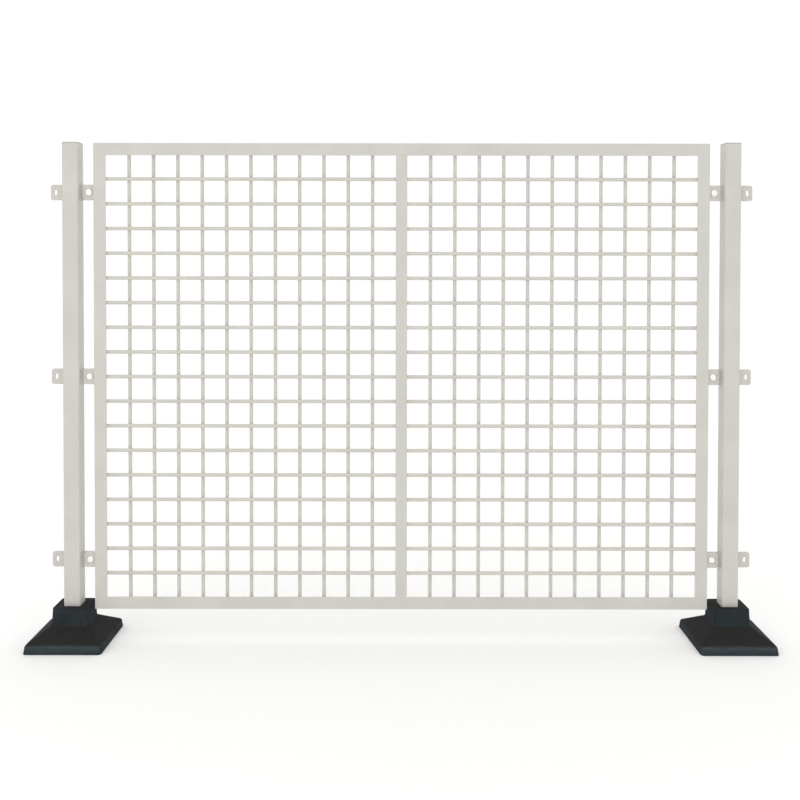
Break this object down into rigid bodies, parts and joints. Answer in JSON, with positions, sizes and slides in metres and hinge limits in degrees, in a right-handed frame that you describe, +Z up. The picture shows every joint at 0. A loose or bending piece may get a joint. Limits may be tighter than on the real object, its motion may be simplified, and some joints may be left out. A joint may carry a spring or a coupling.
{
  "type": "mesh partition fence",
  "caption": "Free-standing warehouse partition fence: a framed wire-mesh panel bolted between square posts that plug into low moulded bases, with slotted lugs for the next section.",
  "frame": {"origin": "on the floor, midway between the two posts, in the middle plane of the fence", "axes": "+X along the fence to the viewer's right, +Y away from the viewer, +Z up; the bolt heads face -Y"},
  "size_m": [1.794, 0.186, 1.222],
  "materials": {
    "paint": "warm light grey powder coat, satin",
    "zinc": "bright zinc plate",
    "base_plastic": "black moulded plastic, slight sheen",
    "cap_plastic": "warm light grey moulded plastic"
  },
  "bodies": {
    "left_foot": {"left_base": "base_plastic"},
    "left_post": {"left_post_tube": "paint", "left_post_cap": "cap_plastic", "left_post_inner_lug_bottom": "paint", "left_post_inner_lug_middle": "paint", "left_post_inner_lug_top": "paint", "left_post_outer_lug_bottom": "paint", "left_post_outer_lug_middle": "paint", "left_post_outer_lug_top": "paint"},
    "right_post": {"right_post_tube": "paint", "right_post_cap": "cap_plastic", "right_post_inner_lug_bottom": "paint", "right_post_inner_lug_middle": "paint", "right_post_inner_lug_top": "paint", "right_post_outer_lug_bottom": "paint", "right_post_outer_lug_middle": "paint", "right_post_outer_lug_top": "paint"},
    "panel": {"top_rail": "paint", "bottom_rail": "paint", "left_stile": "paint", "right_stile": "paint", "centre_stile": "paint", "left_bay_upright_wires": "paint", "left_bay_cross_wires": "paint", "left_panel_lug_bottom": "paint", "left_panel_lug_middle": "paint", "left_panel_lug_top": "paint", "left_bolts": "zinc", "left_washers": "zinc", "left_nuts": "zinc", "right_bay_upright_wires": "paint", "right_bay_cross_wires": "paint", "right_panel_lug_bottom": "paint", "right_panel_lug_middle": "paint", "right_panel_lug_top": "paint", "right_bolts": "zinc", "right_washers": "zinc", "right_nuts": "zinc"},
    "right_foot": {"right_base": "base_plastic"}
  },
  "joints": [
    {"name": "left_post_lift", "type": "slide", "parent": "left_foot", "child": "left_post", "axis": [0, 0, 1], "range_m": [0, 0.08]},
    {"name": "left_slot_adjust", "type": "slide", "parent": "left_post", "child": "panel", "axis": [0, 0, 1], "range_m": [-0.003, 0.003]},
    {"name": "right_slot_adjust", "type": "slide", "parent": "panel", "child": "right_post", "axis": [0, 0, 1], "range_m": [-0.003, 0.003]},
    {"name": "right_foot_drop", "type": "slide", "parent": "right_post", "child": "right_foot", "axis": [0, 0, -1], "range_m": [0, 0.08]}
  ],
  "couplings": [
    {"joint": "right_foot_drop", "follows": "left_post_lift", "ratio": 1}
  ]
}
